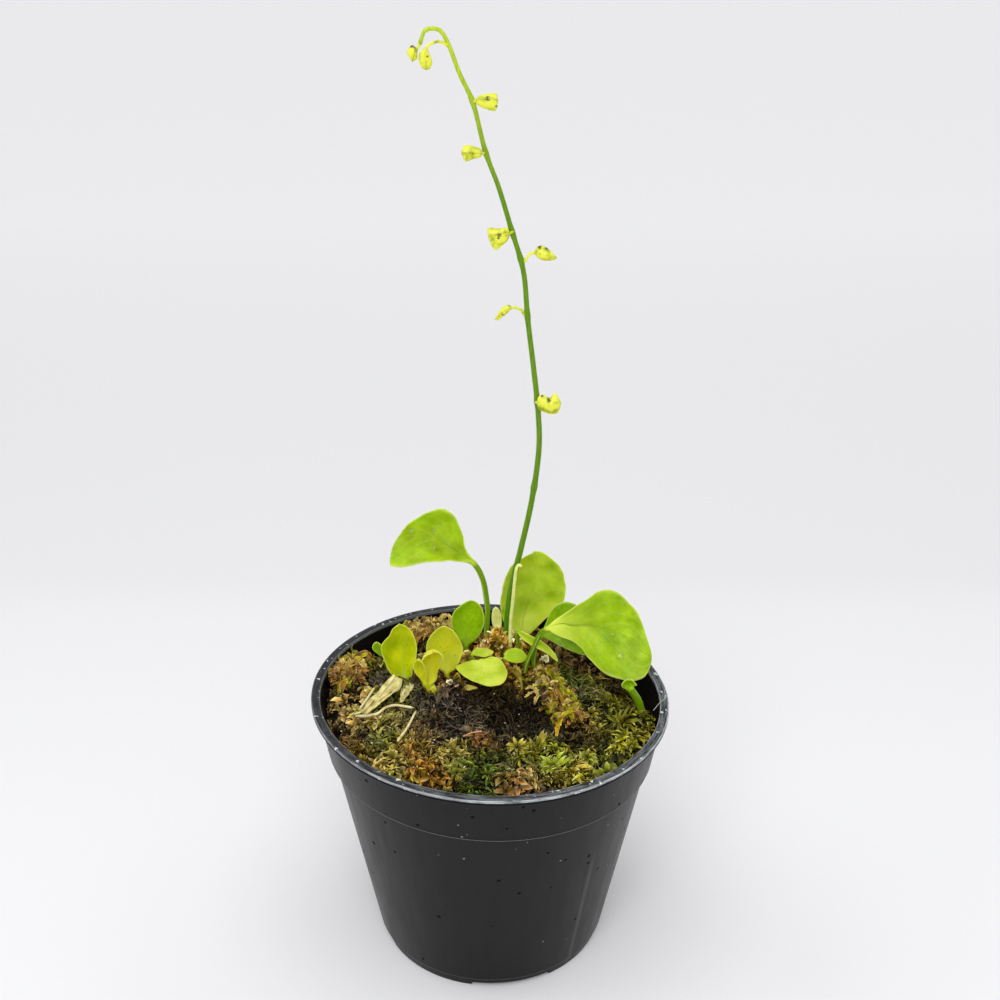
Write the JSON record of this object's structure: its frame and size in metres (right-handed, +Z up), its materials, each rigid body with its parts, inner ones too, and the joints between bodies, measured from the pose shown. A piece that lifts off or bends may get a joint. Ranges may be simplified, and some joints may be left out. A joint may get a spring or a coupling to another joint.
{
  "type": "potted bladderwort",
  "caption": "Terrestrial bladderwort with spoon-shaped leaves and one tall arching scape of two-lobed calyces, growing in sphagnum moss in a round black nursery pot.",
  "frame": {"origin": "centre of the pot's foot, on the surface that the pot stands on", "axes": "+Z up along the pot's axis; -Y towards the plant's front, the side with the flat centre leaf; +X to the right seen from the front"},
  "size_m": [0.09, 0.09, 0.2266],
  "materials": {
    "pot_plastic": "satin black polypropylene, scuffed",
    "sphagnum": "damp living sphagnum, olive to rust",
    "dry_moss": "dry tan sphagnum",
    "leaf_green": "smooth soft leaf, slightly glossy",
    "young_leaf": "smooth soft yellow-green leaf",
    "scape_green": "smooth green stem",
    "calyx_yellow": "smooth yellow-green calyx with dark spots",
    "straw": "dry pale straw",
    "old_leaf": "old olive-brown leaf"
  },
  "bodies": {
    "root": {"nursery_pot": "pot_plastic", "moss_bed": "sphagnum", "dry_moss_clump": "dry_moss", "rear_moss_clump": "dry_moss", "left_moss_clump": "dry_moss", "tall_spoon_leaf": "leaf_green", "back_leaf": "leaf_green", "broad_right_leaf": "leaf_green", "under_right_leaf": "leaf_green", "folded_leaf": "leaf_green", "uncurling_shoot": "leaf_green", "rear_round_leaf": "leaf_green", "hidden_left_leaf": "leaf_green", "centre_leaf": "leaf_green", "nodding_leaflet": "leaf_green", "right_leaflet": "leaf_green", "round_left_leaf": "young_leaf", "round_middle_leaf": "young_leaf", "trumpet_leaf": "young_leaf", "flower_scape": "scape_green", "calyx_1": "calyx_yellow", "calyx_2": "calyx_yellow", "calyx_3": "calyx_yellow", "calyx_4": "calyx_yellow", "calyx_5": "calyx_yellow", "calyx_6": "calyx_yellow", "upper_tip_bud": "calyx_yellow", "lower_tip_bud": "calyx_yellow", "dry_stalk": "straw", "pale_sheath": "straw", "withered_leaf": "straw", "long_stolon": "straw", "front_stolon": "straw", "side_stolon": "straw", "old_left_leaflet": "old_leaf", "old_front_leaflet": "old_leaf", "old_right_leaflet": "old_leaf", "dark_runner": "old_leaf"}
  },
  "joints": []
}
